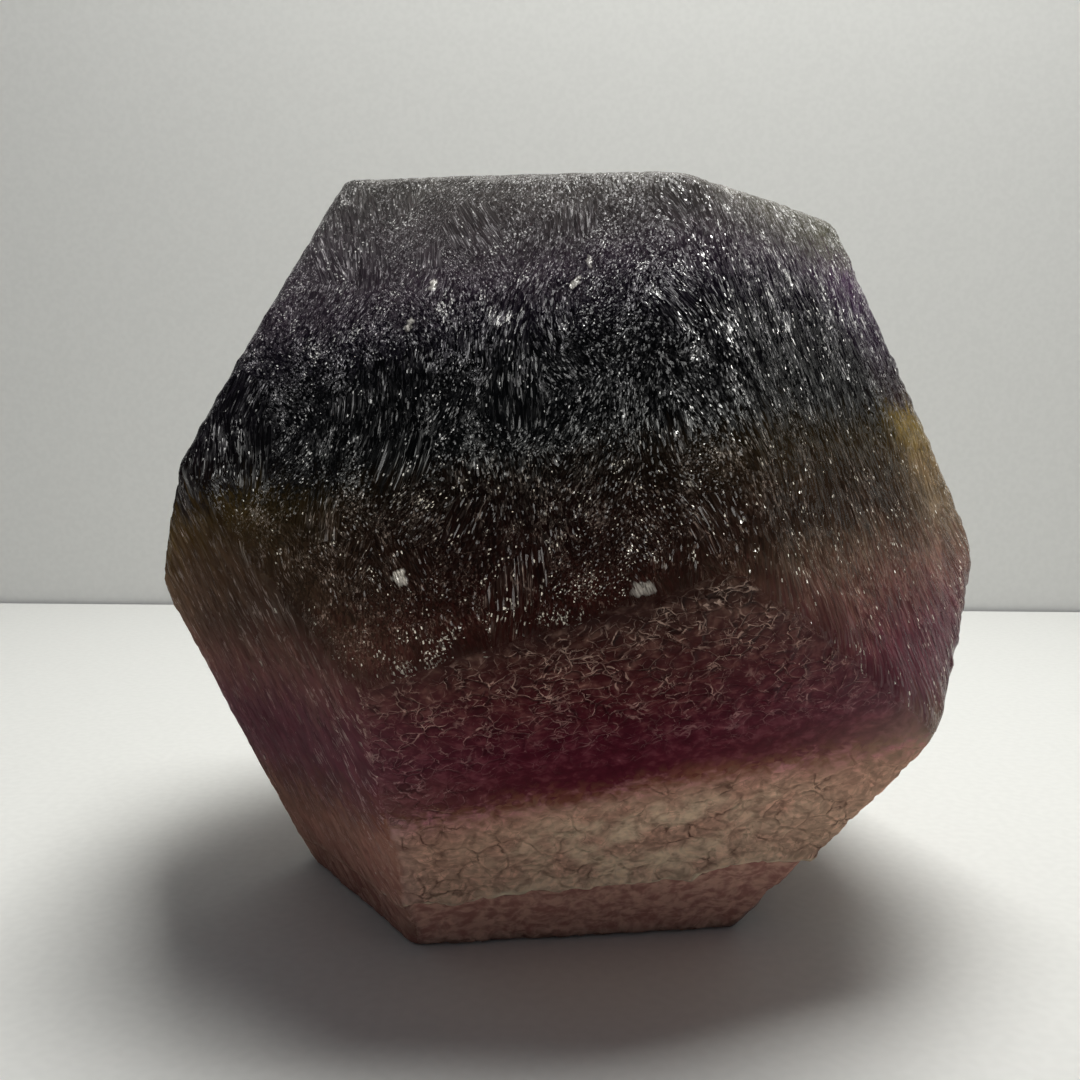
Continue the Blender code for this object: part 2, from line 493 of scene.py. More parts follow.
    # the chips of the left lower face show their planes to the front
    wide = face_weights(p, 2.0)
    lean = wide[:, FACES.index("lower_0"), None] * np.array([0.62, -0.80, 0.10]) * 1.1

    cluster = smooth(fbm(stretched(p, 1.8, 3.0), 2, 135), 0.10, 0.50)
    high = smooth(level, 44.0, 49.0)
    top_row = high * smooth(level, 54.0, 60.0)
    glint = high * (0.02 + (0.25 + 0.35 * top_row) * cluster * (0.3 + 0.7 * column)) + (1 - high) * (0.012 + 0.26 * speck * (0.25 + 0.75 * column))
    glint = glint * (1 + 2.4 * pick("upper_1") * smooth(level, 50.0, 56.0))
    glint = glint + 0.60 * (1 - smooth(p[:, 0], 0.0, 9.0)) * turn * smooth(fbm(p / 2.0, 2, 133), 0.0, 0.4)
    outline = pick("upper_2") + pick("lower_2")
    glint = glint + 0.30 * smooth(4 * pick("upper_1") * outline, 0.05, 0.6)
    glint = glint + 0.22 * smooth(4 * pick("top") * (pick("upper_0") + pick("upper_1")), 0.05, 0.6) * smooth(fbm(p / 1.6, 2, 197), -0.2, 0.3)
    glint = glint * (1 - net) * (1 - 0.9 * pick("lower_0"))

    # how steeply the chips stand: most in the dark band, least on the rubbed faces
    facet = by_face(face_weights(p, 2.5), GRAIN, 3)
    facet = facet * (1 - 0.45 * smooth(level, 58.0, 65.0)) * (1 - net) + 0.12 * net

    # painted shine-through light: where the stone is thin enough to shine through, along the rim of the right face
    # most, the colour is painted brighter and the transmission weight is raised
    wide = face_weights(p, 3.6)
    w = lambda f: wide[:, FACES.index(f)]
    outer = w("lower_2") + w("upper_2") + 0.5 * w("top")
    glow_painted_and_clear = w("upper_1") * (0.02 + 0.02 * (1 - smooth(level, 42.0, 47.0)) + 0.27 * (1 - smooth(level, 30.0, 38.0)) + 1.3 * smooth(outer, 0.03, 0.38))
    glow_painted_and_clear = glow_painted_and_clear + 0.45 * w("lower_2") + 0.35 * w("upper_2") + 0.35 * w("lower_4") + 0.3 * w("lower_3")
    glow_painted_and_clear = glow_painted_and_clear + w("lower_0") * (0.16 + 0.38 * smooth(level, 9.0, 16.0) - 0.38 * smooth(level, 28.0, 36.0) + 1.7 * w("lower_4") + 0.5 * w("upper_4"))
    # painted light: a yellowish light painted into the middle of the cream band and in a band just above the ledge
    middle = np.exp(-((p[:, 0] - 9.0) / 15.0) ** 2) * (1 - smooth(level, 11.0, 15.0)) * smooth(rise, -0.5, 0.5)
    painted_lip_light = 0.8 * np.exp(-((rise - 0.9) / 0.8) ** 2) * smooth(p[:, 0], -24.0, -2.0) * (1 - smooth(p[:, 0], 22.0, 34.0))
    painted_yellow_light = np.maximum(middle, painted_lip_light) * w("lower_1") * smooth(fbm(p / 3.0, 2, 191), -0.45, 0.25)
    glow_painted_and_clear = glow_painted_and_clear + 1.6 * w("lower_1") * w("lower_2") + 0.8 * w("upper_0") * w("top")
    glow_painted_and_clear = np.clip(glow_painted_and_clear, 0, 1)

    # the left lower face is scratched most beside the front one
    wide = face_weights(p, 6.0)
    beside = smooth(4 * wide[:, FACES.index("lower_0")] * wide[:, FACES.index("lower_1")], 0.15, 0.9)
    beside = beside * smooth(level, 9.0, 16.0) * (1 - smooth(level, 34.0, 40.0))

    fleck = np.zeros(len(p))
    for at, wide_mm, tall_mm, turn_deg, strength in FLECKS:
        off = p - np.array(at)
        near = np.linalg.norm(off, axis=1) < 5.0
        o = off[near]
        x, y = o[:, 0], o @ BAND_UP
        c, sn = math.cos(math.radians(turn_deg)), math.sin(math.radians(turn_deg))
        r = np.hypot((x * c + y * sn) / wide_mm, (y * c - x * sn) / tall_mm) + 0.5 * fbm(p[near] / 0.8, 2, 181)
        fleck[near] = np.maximum(fleck[near], strength * smooth(r, 1.15, 0.75))
    h += 0.10 * fleck

    rust = (1 - smooth(p[:, 0], -24.0, 2.0)) * w("lower_1") * (1 - smooth(level, 13.0, 20.0)) * smooth(level, 2.0, 8.0)

    fields = {
        "glow_painted_and_clear": glow_painted_and_clear,
        "level": level + sway + fray * (1 - 0.25 * net) + 3.0 * rust,
        "net": net,
        "ridges": net * np.maximum(band, 0.9 * beside) * patch * smooth(pick("upper_0"), 0.55, 0.15)
                  * np.maximum(0.35 + 0.65 * smooth(level, 19.0, 27.0), beside),
        "crust": cream,
        "wave": wave,
        "gap": smooth(fbm(p / 1.1, 2, 77), -0.25, 0.15),
        "boxes": fib * smooth(level, 28.0, 33.0) * (1 - smooth(level, 44.0, 48.0)) * smooth(fbm(p / 3.0, 2, 173), -0.15, 0.25),
        "fleck": fleck,
        "bold": smooth(fbm(p / 3.5, 2, 171), -0.10, 0.30),
        "broken": smooth(fbm(p / 2.0, 2, 89), -0.35, 0.25),
        "clump": 0.24 * smooth(level, 58.0, 63.0) + (0.15 + 0.85 * clump) * (0.45 + 0.55 * pits) * (0.25 + 0.75 * crest) * (0.16 + 0.84 * column),
        "frosty": by_face(face_weights(p, 2.5), GRAIN, 2) * (1 + 2.0 * beside),
        "glint": glint,
        "painted_yellow_light": painted_yellow_light,
        "mauve": pick("lower_0"),
        "rise": np.clip(rise, -3, 3),
        "below": np.maximum(below * side * (0.3 + 0.7 * net), 0.7 * pick("lower_0") * (1 - smooth(level, 10.0, 18.0))),
        "facet": facet,
    }
    return h, fields, lean, webspace, crustspace, finespace, stretched(wander(p, 2.0, 0.35, 175), 2.0, 2.9)


ACROSS = 0.17          # width of one needle, mm


def needle_space(p, tris, net):
    """Coordinates for the needles, one fibre wide across and one needle long along. They are
    per corner: each bundle of needles has its own lean, and stops short at its border. Where
    the net of ridges is, they are one continuous space for the crinkles instead."""
    middle = wander(p, 9.0, 1.5, 141)[tris].mean(1)
    size = 5.0
    _, _, rnd, at, _ = cells(middle / size, 143, points=True)
    at = at * size
    weights = face_weights(p[tris].mean(1), 0.03)
    length = by_face(weights, GRAIN, 0)
    lean = by_face(weights, GRAIN, 1)
    broad = ACROSS * by_face(weights, GRAIN, 4)
    low = band_level(at)
    length = length * (1 - 0.45 * smooth(low, 60.0, 66.0)) * (1 - 0.25 * smooth(low, 34.0, 38.0) * (1 - smooth(low, 44.0, 47.0)))
    length = length * (0.75 + 0.5 * rnd)
    angle = 2 * math.pi * ((rnd * 7.13) % 1.0)
    lean = lean * (0.25 + 1.1 * ((rnd * 13.7) % 1.0))
    side = unit(np.cross(BAND_UP, [0.0, 1.0, 0.0]))
    away = np.cross(side, BAND_UP)
    tilt = lean[:, None] * (np.cos(angle)[:, None] * side + np.sin(angle)[:, None] * away)
    pw = wander(p, 12.0, 1.2, 145)
    c = pw[tris]                                                # corners (m, 3, 3)
    lift = c @ BAND_UP
    flat = c - lift[..., None] * BAND_UP
    rel = lift - (at @ BAND_UP)[:, None]
    flat = flat - rel[..., None] * tilt[:, None]
    q = flat / broad[:, None, None] + (rel / length[:, None])[..., None] * BAND_UP + 40.0 * rnd[:, None, None]
    w = wander(p, 3.0, 0.7, 147)
    lift = w @ BAND_UP
    crinkle = (w - lift[:, None] * BAND_UP) / 0.66 + (lift / 0.46)[:, None] * BAND_UP
    netted = net[tris].mean(1) > 0.5
    q = np.where(netted[:, None, None], crinkle[tris], q)
    return q.reshape(-1, 3)


def ease(x, lo, hi, soft=0.35):
    """Brings the outermost points in smoothly, so that nothing passes lo or hi."""
    over = x - (hi - soft)
    x = np.where(over > 0, hi - soft * np.exp(-np.maximum(over, 0) / soft), x)
    over = (lo + soft) - x
    return np.where(over > 0, lo + soft * np.exp(-np.maximum(over, 0) / soft), x)


def build_stone(n):
    d, tris = fan_directions(n)
    d = crowd(d, (-0.05, -1.0, 0.25), 1.22)
    p = project(d)
    value, grad, share = form(p)
    nrm = unit(grad)
    h, fields, lean, webspace, crustspace, finespace, boxspace = relief(p, nrm, share)
    out = p + nrm * h[:, None]

    # nothing sticks out of the ground form's box, and the foot stands on the table
    low, high = np.array(CAD_BOX) * 1000.0
    out[:, 0] = ease(out[:, 0], low[0], high[0])
    out[:, 1] = ease(out[:, 1], low[1], high[1])
    out[:, 2] = np.maximum(ease(out[:, 2], -9.0, high[2]), low[2] + 0.001)

    # outward triangles
    a, b, c = (out[tris[:, k]] for k in range(3))
    if (np.einsum("ij,ij->i", np.cross(b - a, c - a), (a + b + c) / 3 - CENTRE)).sum() < 0:
        tris = tris[:, ::-1]

    mesh = bpy.data.meshes.new("stone")
    mesh.vertices.add(len(out))
    mesh.vertices.foreach_set("co", (out / 1000.0).astype(np.float32).ravel())
    mesh.loops.add(len(tris) * 3)
    mesh.loops.foreach_set("vertex_index", tris.astype(np.int32).ravel())
    mesh.polygons.add(len(tris))
    mesh.polygons.foreach_set("loop_start", np.arange(0, len(tris) * 3, 3, dtype=np.int32))
    mesh.polygons.foreach_set("loop_total", np.full(len(tris), 3, dtype=np.int32))
    mesh.update(calc_edges=True)
    mesh.shade_smooth()
    for name, values in fields.items():
        att = mesh.attributes.new(name, "FLOAT", "POINT")
        att.data.foreach_set("value", values.astype(np.float32))
    att = mesh.attributes.new("lean", "FLOAT_VECTOR", "POINT")
    att.data.foreach_set("vector", lean.astype(np.float32).ravel())
    for name, values in (("vein", seams(webspace, tris, 71)), ("craze", seams(crustspace, tris, 83)),
                         ("hairline", seams(finespace, tris, 87)), ("hairline2", seams(boxspace, tris, 89))):
        att = mesh.attributes.new(name, "FLOAT", "CORNER")
        att.data.foreach_set("value", values.astype(np.float32))
    att = mesh.attributes.new("needle", "FLOAT_VECTOR", "CORNER")
    att.data.foreach_set("vector", needle_space(p, tris, fields["net"]).astype(np.float32).ravel())
    stone = bpy.data.objects.new("stone", mesh)
    bpy.context.collection.objects.link(stone)
    return stone


# =====================================================================================
# Node helper
# =====================================================================================
class Graph:
    """Short names for the shader nodes used below. Values are sockets or numbers."""

    def __init__(self, name):
        self.mat = bpy.data.materials.new(name)
        self.mat.use_nodes = True
        self.tree = self.mat.node_tree
        self.shader = self.tree.nodes["Principled BSDF"]
        self.output = self.tree.nodes["Material Output"]

    def new(self, kind, **props):
        node = self.tree.nodes.new(kind)
        for k, v in props.items():
            setattr(node, k, v)
        return node

    def put(self, socket, value):
        if isinstance(value, bpy.types.NodeSocket):
            self.tree.links.new(value, socket)
        else:
            socket.default_value = value

    def math(self, op, a, b=0.0, c=0.0, clamp=False):
        n = self.new("ShaderNodeMath", operation=op, use_clamp=clamp)
        self.put(n.inputs[0], a)
        self.put(n.inputs[1], b)
        self.put(n.inputs[2], c)
        return n.outputs[0]

    def add(self, a, b): return self.math("ADD", a, b)
    def sub(self, a, b): return self.math("SUBTRACT", a, b)
    def mul(self, a, b): return self.math("MULTIPLY", a, b)

    def vec(self, op, a, b=(0, 0, 0), scale=1.0):
        n = self.new("ShaderNodeVectorMath", operation=op)
        self.put(n.inputs[0], a)
        if op != "SCALE":
            self.put(n.inputs[1], b)
        else:
            self.put(n.inputs["Scale"], scale)
        return n.outputs["Value"] if op in ("DOT_PRODUCT", "LENGTH") else n.outputs["Vector"]

    def attribute(self, name, out="Fac"):
        n = self.new("ShaderNodeAttribute", attribute_name=name)
        return n.outputs[out]

    def scaled(self, vector, amount):
        n = self.new("ShaderNodeVectorMath", operation="SCALE")
        self.put(n.inputs[0], vector)
        self.put(n.inputs["Scale"], amount)
        return n.outputs["Vector"]

    def noise(self, vector, scale=1.0, detail=2.0, rough=0.5, distort=0.0, color=False):
        n = self.new("ShaderNodeTexNoise")
        self.put(n.inputs["Vector"], vector)
        n.inputs["Scale"].default_value = scale
        n.inputs["Detail"].default_value = detail
        n.inputs["Roughness"].default_value = rough
        n.inputs["Distortion"].default_value = distort
        return n.outputs["Color"] if color else n.outputs["Fac"]

    def voronoi(self, vector, scale=1.0, feature="F1", rand=1.0, out="Distance"):
        n = self.new("ShaderNodeTexVoronoi", feature=feature)
        self.put(n.inputs["Vector"], vector)
        n.inputs["Scale"].default_value = scale
        n.inputs["Randomness"].default_value = rand
        return n.outputs[out]

    def span(self, value, lo, hi, to_lo=0.0, to_hi=1.0, kind="LINEAR"):
        n = self.new("ShaderNodeMapRange", interpolation_type=kind, clamp=True)
        self.put(n.inputs["Value"], value)
        n.inputs["From Min"].default_value = lo
        n.inputs["From Max"].default_value = hi
        n.inputs["To Min"].default_value = to_lo
        n.inputs["To Max"].default_value = to_hi
        return n.outputs["Result"]

    def ramp(self, value, stops, kind="LINEAR"):
        n = self.new("ShaderNodeValToRGB")
        n.color_ramp.interpolation = kind
        el = n.color_ramp.elements
        while len(el) > 1:
            el.remove(el[-1])
        el[0].position, el[0].color = stops[0][0], (*stops[0][1], 1.0)
        for pos, col in stops[1:]:
            e = el.new(pos)
            e.color = (*col, 1.0)
        self.put(n.inputs["Fac"], value)
        return n.outputs["Color"]

    def mix(self, fac, a, b, kind="MIX"):
        n = self.new("ShaderNodeMix", data_type="RGBA", blend_type=kind)
        n.clamp_factor = True
        self.put(n.inputs[0], fac)
        self.put(n.inputs[6], a if isinstance(a, bpy.types.NodeSocket) else (*a, 1.0))
        self.put(n.inputs[7], b if isinstance(b, bpy.types.NodeSocket) else (*b, 1.0))
        return n.outputs[2]

    def lerp(self, fac, a, b):
        n = self.new("ShaderNodeMix", data_type="FLOAT")
        n.clamp_factor = True
        self.put(n.inputs[0], fac)
        self.put(n.inputs[2], a)
        self.put(n.inputs[3], b)
        return n.outputs[0]


def srgb(r, g, b):
    """8-bit screen colour to linear."""
    out = []
    for v in (r, g, b):
        v /= 255.0
        out.append(v / 12.92 if v <= 0.04045 else ((v + 0.055) / 1.055) ** 2.4)
    return tuple(out)


# =====================================================================================
# Fluorite
# =====================================================================================
TALL = 80.0            # span of the colour ramps, mm


def mm(stops):
    """Ramp stops given in mm above the foot and 8-bit screen colours."""
    return [(h / TALL, srgb(*c)) for h, c in stops]


def fluorite():
    g = Graph("banded_fluorite")
    needle = g.attribute("needle", "Vector")
    level = g.attribute("level")
    net = g.attribute("net")
    clump = g.attribute("clump")

    up = tuple(float(v) for v in BAND_UP)
    hair = g.noise(needle, 0.50, 2, 0.62)
    along = g.vec("DOT_PRODUCT", needle, up)
    rods = g.vec("ADD", g.scaled(needle, 1.20), g.scaled(up, g.mul(along, -0.45)))
    chip = g.new("ShaderNodeTexVoronoi", feature="F1")
    g.put(chip.inputs["Vector"], rods)
    chip.inputs["Scale"].default_value = 1.0
    dist = chip.outputs["Distance"]
    pick = g.new("ShaderNodeSeparateXYZ")
    g.put(pick.inputs[0], chip.outputs["Color"])
    r1, r2, r3 = pick.outputs
    # crumbs: tiny cells, each with its own chance and direction
    crumb = g.new("ShaderNodeTexWhiteNoise", noise_dimensions="3D")
    g.put(crumb.inputs["Vector"], g.vec("FLOOR", g.vec("ADD", g.scaled(needle, 1.45), g.scaled(up, g.mul(along, 6.5)))))

    # growth bands: their borders fray along the fibres
    loose = g.sub(1.0, net)
    jag = g.add(g.mul(g.sub(hair, 0.5), 7.0), g.mul(g.sub(r2, 0.5), 1.6))
    crust = g.attribute("crust")
    here = g.add(level, g.mul(jag, g.add(g.add(0.20, g.mul(g.mul(crust, g.sub(1.0, crust)), 5.0)), g.mul(loose, 0.85))))
    t = g.math("DIVIDE", here, TALL, clamp=True)
    deep = g.ramp(t, mm([
        (0.0, (136, 100, 88)), (4.0, (150, 116, 100)), (6.5, (172, 128, 112)), (12.0, (172, 124, 104)),
        (14.2, (144, 88, 70)), (16.6, (92, 26, 42)), (21.0, (80, 16, 34)), (25.0, (76, 20, 28)),
        (31.0, (56, 22, 18)), (36.0, (34, 14, 10)), (41.0, (24, 11, 8)), (45.0, (18, 11, 7)), (47.0, (6, 7, 8)),
        (56.0, (5, 6, 8)), (59.5, (20, 16, 26)), (63.0, (64, 54, 65)), (70.0, (86, 79, 85)),
        (80.0, (96, 94, 92)),
    ]))
    painted_glow_colours = g.ramp(t, mm([
        (0.0, (150, 118, 104)), (7.0, (236, 212, 168)), (15.0, (196, 160, 136)), (20.0, (160, 110, 119)),
        (25.0, (162, 104, 116)), (30.0, (190, 139, 126)), (36.0, (199, 169, 135)), (41.0, (208, 172, 123)),
        (45.5, (202, 168, 80)), (48.0, (88, 66, 60)), (51.0, (66, 48, 62)), (56.0, (84, 60, 92)),
        (61.0, (128, 94, 132)), (65.0, (150, 146, 122)), (80.0, (170, 168, 150)),
    ]))
    # painted shine-through light: the colour is painted towards the bright tones where light would pass through the
    # thin rim
    deep = g.mix(g.attribute("glow_painted_and_clear"), deep, painted_glow_colours)
    pale = g.ramp(t, mm([
        (0.0, (176, 142, 126)), (6.0, (202, 162, 141)), (13.0, (194, 150, 130)), (19.0, (178, 116, 124)),
        (27.0, (186, 142, 126)), (34.0, (192, 160, 142)), (45.0, (204, 188, 174)), (48.0, (224, 224, 220)),
        (58.0, (226, 222, 228)), (64.0, (226, 218, 224)), (80.0, (226, 224, 222)),
    ]))
    mauve = g.attribute("mauve")
    deep = g.mix(mauve, deep, g.vec("MULTIPLY", deep, (1.06, 0.88, 0.96)))
    pale = g.mix(g.mul(mauve, 0.6), pale, srgb(206, 190, 184))
    cover = g.ramp(t, [(h / TALL, (v, v, v)) for h, v in (
        (0.0, 0.55), (5.0, 0.80), (13.0, 0.70), (18.0, 0.45), (24.0, 0.55), (34.0, 0.48), (44.0, 0.58),
        (48.0, 0.95), (57.0, 0.95), (62.0, 0.95), (80.0, 1.0))])

    # needles: streaks of frost and thin threads between deep gaps
    jitter = g.sub(hair, 0.5)
    core = g.span(dist, 0.50, 0.20)
    lit = g.span(r1, 0.45, 1.0)
    rod = g.mul(g.mul(lit, g.mul(lit, 1.7)), g.mul(core, g.span(hair, 0.40, 0.54, 0.20, 1.0)))
    thread = g.mul(g.span(g.math("ABSOLUTE", jitter), 0.026, 0.008), g.span(r2, 0.3, 0.9, 0.0, 0.8))
    streak = g.span(hair, 0.52, 0.66, 0.0, 0.14)
    fuzz = g.math("MAXIMUM", g.math("MAXIMUM", streak, rod), thread)
    fuzz = g.mul(fuzz, g.span(clump, 0.02, 0.42, 0.06, 1.0))
    fuzz = g.mul(fuzz, g.attribute("frosty"))
    box = g.mul(g.span(g.math("ABSOLUTE", g.add(g.attribute("hairline2"), g.mul(jitter, 0.5))), 0.060, 0.02),
                g.mul(g.attribute("boxes"), g.span(r2, 0.2, 0.9, 0.0, 0.60)))
    fuzz = g.math("MAXIMUM", fuzz, box)

    # net of thin broken ridges on the polished lower face: pale lines that also carry a painted highlight on their
    # tops, each with a painted shadow below it
    gap = g.attribute("gap")
    rare = g.sub(1.0, gap)
    bold = g.attribute("bold")
    vein = g.add(g.attribute("vein"), g.mul(jitter, 0.35))
    scale = g.add(g.attribute("hairline"), g.mul(jitter, 0.40))
    wave = g.add(g.attribute("wave"), g.mul(jitter, 0.55))
    line = g.mul(g.span(g.math("ABSOLUTE", vein), 0.050, 0.020), g.span(gap, 0.0, 0.6, 0.10, 1.0))
    fine = g.mul(g.span(g.math("ABSOLUTE", scale), 0.058, 0.024), g.span(rare, 0.0, 0.8, 0.10, 0.8))
    line = g.math("MAXIMUM", line, fine)
    line = g.math("MAXIMUM", line, g.mul(g.span(g.math("ABSOLUTE", wave), 0.060, 0.030), g.span(bold, 0.6, 0.9)))
    crinkle = g.mul(g.span(g.math("ABSOLUTE", jitter), 0.018, 0.006), g.span(r2, 0.3, 0.9, 0.0, 0.5))
    line = g.math("MAXIMUM", line, crinkle)
    line = g.math("MULTIPLY", g.mul(line, g.attribute("ridges")), g.span(r1, 0.15, 0.9, 0.10, 1.25), clamp=True)
    # painted shadow: a dark band painted just below each ridge line
    painted_ridge_shadow = g.math("MAXIMUM", g.mul(g.span(vein, -0.34, -0.14), g.span(vein, -0.03, -0.08)),
                   g.mul(g.mul(g.span(scale, -0.36, -0.15), g.span(scale, -0.03, -0.08)), g.mul(rare, 0.7)))
    painted_ridge_shadow = g.mul(painted_ridge_shadow, g.attribute("ridges"))
    flaky = g.span(g.add(crust, g.mul(jitter, 1.8)), 0.28, 0.80, 0.0, 0.80)
    webbed = g.math("MAXIMUM", flaky, g.mul(g.span(hair, 0.50, 0.66), 0.10))
    frost = g.lerp(net, g.mul(fuzz, cover), webbed)
    base = g.mix(frost, deep, pale)
    grainy = g.lerp(net, 1.0, g.span(hair, 0.33, 0.67, 0.74, 1.26))
    base = g.scaled(base, g.mul(grainy, g.sub(1.0, g.mul(painted_ridge_shadow, 0.60))))
    base = g.scaled(base, g.lerp(net, g.span(bold, 0.0, 1.0, 0.86, 1.12), 1.0))
    base = g.mix(g.mul(line, 0.80), base, g.mix(0.35, g.scaled(pale, 1.35), (0.62, 0.54, 0.47)))

    # cracked, mottled crust
    mottle = g.mul(g.span(r2, 0.0, 1.0, 0.80, 1.20), g.span(g.attribute("broken"), 0.0, 1.0, 0.92, 1.06))
    base = g.scaled(base, g.lerp(crust, 1.0, mottle))
    craze = g.math("ABSOLUTE", g.add(g.attribute("craze"), g.mul(jitter, 0.40)))
    # painted highlight: a lighter band painted beside each crack
    painted_crack_edge_light = g.mul(g.mul(g.span(craze, 0.09, 0.15), g.span(craze, 0.32, 0.18)), crust)
    base = g.scaled(base, g.add(1.0, g.mul(painted_crack_edge_light, 0.16)))
    crack = g.math("MAXIMUM", g.mul(g.span(craze, 0.075, 0.025), g.span(bold, 0.1, 0.9, 0.10, 1.0)),
                   g.mul(g.span(g.math("ABSOLUTE", scale), 0.070, 0.025), g.span(g.attribute("broken"), 0.2, 0.9, 0.0, 0.55)))
    crack = g.mul(g.mul(crack, crust), g.span(gap, 0.0, 1.0, 0.25, 1.0))
    below = g.attribute("below")
    base = g.mix(g.mul(crack, g.sub(0.85, g.mul(below, 0.7))), base, srgb(84, 48, 40))

    # painted light: yellowish light painted into the cream
    base = g.mix(g.mul(g.attribute("painted_yellow_light"), g.span(hair, 0.34, 0.60, 0.25, 0.75)), base, srgb(255, 230, 196))

    # the crust has broken off below a ledge: mauve stone, a painted shadow line below the ledge and a painted highlight
    # along the pale lip
    rise = g.attribute("rise")
    base = g.mix(g.mul(below, 0.75), base, g.mix(g.span(hair, 0.38, 0.60), srgb(196, 132, 122), srgb(238, 186, 166)))
    painted_ledge_shadow = g.mul(g.span(rise, -0.55, -0.10), g.span(rise, 0.20, 0.02))
    # painted highlight: the lip is painted pale along its edge
    rim = g.mul(g.mul(g.span(rise, 0.02, 0.15), g.span(rise, 0.70, 0.30)), g.span(gap, 0.0, 1.0, 0.3, 1.0))
    base = g.scaled(base, g.sub(1.0, g.mul(painted_ledge_shadow, g.mul(crust, 0.62))))
    base = g.mix(g.mul(rim, g.mul(crust, 0.90)), base, srgb(255, 238, 206))

    # a few pale flecks of frost
    fleck = g.attribute("fleck")
    shred = g.span(g.add(fleck, g.mul(jitter, 1.6)), 0.42, 0.56)
    shred = g.mul(shred, g.mul(fleck, fleck))
    base = g.mix(g.mul(shred, g.span(r2, 0.0, 1.0, 0.45, 1.0)), base, srgb(236, 228, 216))

    # sparkling chips: painted highlights, their colour painted near-white, with a coat and normals turned up to face
    # the light
    share = g.attribute("glint")
    left = g.math("DIVIDE", g.sub(share, crumb.outputs["Value"]), g.math("MAXIMUM", share, 0.001), clamp=True)
    spark = g.mul(g.mul(left, g.mul(left, 1.3)), g.span(hair, 0.44, 0.52))
    spark = g.math("MAXIMUM", spark, g.mul(shred, g.span(r2, 0.2, 0.8, 0.10, 0.45)))
    base = g.mix(spark, base, g.mix(g.span(level, 44.0, 48.0), srgb(250, 240, 220), srgb(250, 248, 244)))

    # normals: every chip leans its own way
    steps = g.add(g.span(g.attribute("vein"), -0.16, 0.10), g.mul(g.span(g.attribute("hairline"), -0.16, 0.10), rare))
    crease = g.span(g.attribute("craze"), -0.12, 0.12)
    heights = g.add(g.mul(steps, g.attribute("ridges")), g.mul(crease, g.mul(crust, g.sub(1.0, below))))
    bump = g.new("ShaderNodeBump")
    bump.inputs["Strength"].default_value = 1.0
    bump.inputs["Distance"].default_value = 0.00016
    g.put(bump.inputs["Height"], heights)
    tip = g.vec("SUBTRACT", chip.outputs["Color"], (0.5, 0.5, 0.5))
    tip = g.scaled(tip, g.attribute("facet"))
    turned = g.vec("SUBTRACT", crumb.outputs["Color"], (0.5, 0.5, -0.35))
    lift = g.scaled(turned, spark)
    normal = g.vec("ADD", g.vec("ADD", bump.outputs["Normal"], tip), lift)
    normal = g.vec("NORMALIZE", g.vec("ADD", normal, g.attribute("lean", "Vector")))

    solid = g.math("MAXIMUM", frost, line)
    rough = g.lerp(net, g.span(solid, 0.0, 0.8, 0.20, 0.60), g.span(solid, 0.0, 0.8, 0.38, 0.80))
    clear = g.mul(g.span(solid, 0.0, 0.9, 1.0, 0.35), g.sub(1.0, spark))
    dark = g.ramp(t, [(h / TALL, (v, v, v)) for h, v in (
        (0.0, 0.15), (15.0, 0.15), (18.0, 0.10), (44.0, 0.08), (48.0, 0.05), (57.0, 0.05), (62.0, 0.22))])
    # the transmission weight also rises where the shine-through light is painted
    clear = g.mul(clear, g.math("MAXIMUM", dark, g.mul(g.attribute("glow_painted_and_clear"), 0.60)))

    s = g.shader.inputs
    g.put(s["Base Color"], base)
    g.put(s["Roughness"], rough)
    g.put(s["Transmission Weight"], clear)
    s["IOR"].default_value = 1.434
    s["Specular IOR Level"].default_value = 0.06
    g.put(s["Normal"], normal)
    g.put(s["Coat Weight"], spark)
    g.put(s["Coat Normal"], normal)
    s["Coat Roughness"].default_value = 0.10
    s["Coat IOR"].default_value = 1.8

    vol = g.new("ShaderNodeVolumeAbsorption")
    vol.inputs["Color"].default_value = (0.75, 0.52, 0.56, 1.0)
    vol.inputs["Density"].default_value = 70.0
    g.tree.links.new(vol.outputs["Volume"], g.output.inputs["Volume"])
    return g.mat


def plain(name, color, rough):
    g = Graph(name)
    tc = g.new("ShaderNodeTexCoord")
    grain = g.noise(tc.outputs["Object"], 900.0, 0, 0.6)
    tone = g.span(grain, 0.3, 0.7, 0.985, 1.015)
    c = g.new("ShaderNodeVectorMath", operation="SCALE")
    c.inputs[0].default_value = color
    g.put(c.inputs["Scale"], tone)
    g.put(g.shader.inputs["Base Color"], c.outputs["Vector"])
    g.shader.inputs["Roughness"].default_value = rough
    g.shader.inputs["Specular IOR Level"].default_value = 0.2
    return g.mat


# =====================================================================================
# Stage, light, camera
# =====================================================================================
def quad(name, corners, material):
    mesh = bpy.data.meshes.new(name)
    mesh.from_pydata(corners, [], [(0, 1, 2, 3)])
    mesh.update()
    ob = bpy.data.objects.new(name, mesh)
    bpy.context.collection.objects.link(ob)
    mesh.materials.append(material)
    return ob


def area(name, where, at, size, watts, color=(1, 1, 1)):
    data = bpy.data.lights.new(name, "AREA")
    data.shape = "RECTANGLE"
    data.size, data.size_y = size
    data.energy = watts
    data.color = color
    ob = bpy.data.objects.new(name, data)
    bpy.context.collection.objects.link(ob)
    ob.location = where
    ob.rotation_mode = "QUATERNION"
    ob.rotation_quaternion = (Vector(at) - Vector(where)).to_track_quat("-Z", "Y")
    return ob


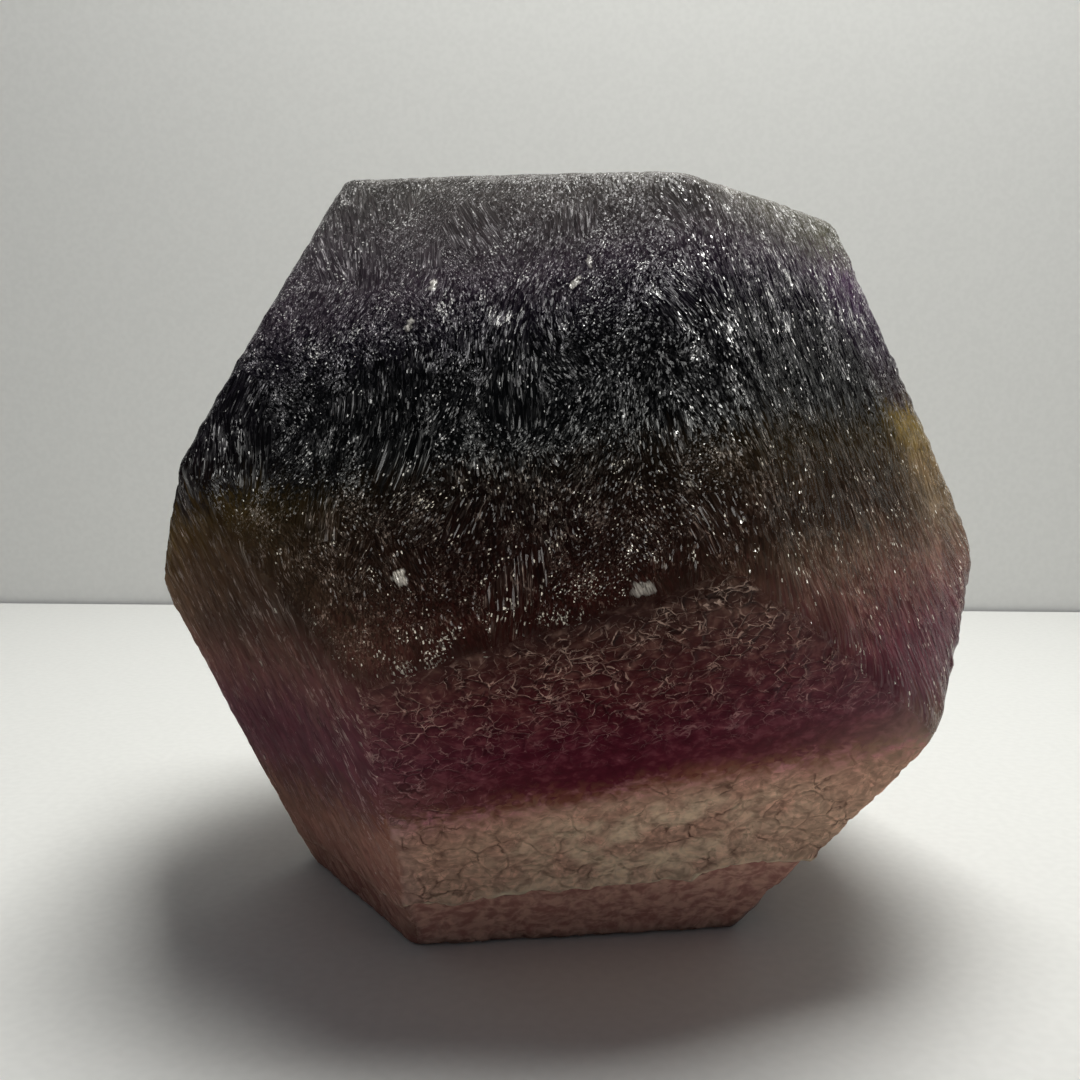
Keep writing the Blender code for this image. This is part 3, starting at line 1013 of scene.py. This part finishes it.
WALL_Y = 0.166
paper = plain("pale_table", (0.76, 0.76, 0.736), 0.75)
wall = plain("pale_wall", (0.80, 0.80, 0.775), 0.85)
quad("table", [(-1.2, -1.2, 0), (1.2, -1.2, 0), (1.2, WALL_Y - 0.0012, 0), (-1.2, WALL_Y - 0.0012, 0)], paper)
quad("backdrop", [(-1.2, WALL_Y, -0.004), (1.2, WALL_Y, -0.004), (1.2, WALL_Y, 0.55), (-1.2, WALL_Y, 0.55)], wall)

area("key", (0.05, 0.045, 0.40), (0.0, 0.03, 0.03), (0.24, 0.20), 1.6, (1.0, 1.0, 0.97))

world = bpy.data.worlds.new("room")
world.use_nodes = True
world.node_tree.nodes["Background"].inputs["Color"].default_value = (0.9, 0.92, 1.0, 1)
world.node_tree.nodes["Background"].inputs["Strength"].default_value = 0.12
bpy.context.scene.world = world
bpy.context.scene.view_settings.view_transform = "Standard"
cycles = bpy.context.scene.cycles
cycles.max_bounces = 5
cycles.transmission_bounces = 3
cycles.diffuse_bounces = 2
cycles.adaptive_threshold = 0.2
cycles.glossy_bounces = 2

camera = bpy.data.cameras.new("camera")
camera.sensor_width = 36.0
camera.lens = 40.0
camera.clip_start = 0.005
cam = bpy.data.objects.new("camera", camera)
bpy.context.collection.objects.link(cam)
bpy.context.scene.camera = cam
pitch, roll = math.radians(-7.53), math.radians(0.47)
ahead = Vector((0.0, math.cos(pitch), math.sin(pitch)))
up0 = Vector((0.0, -math.sin(pitch), math.cos(pitch)))
right = Vector((1, 0, 0)) * math.cos(roll) + up0 * math.sin(roll)
upward = Vector((-1, 0, 0)) * math.sin(roll) + up0 * math.cos(roll)
cam.matrix_world = Matrix((
    (right.x, upward.x, -ahead.x, -0.0014287),
    (right.y, upward.y, -ahead.y, -0.1387507),
    (right.z, upward.z, -ahead.z, 0.0576980),
    (0, 0, 0, 1)))

# =====================================================================================
# The piece
# =====================================================================================
stone = build_stone(57)
stone.data.materials.append(fluorite())
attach(stone, "root")
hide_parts(NODE)
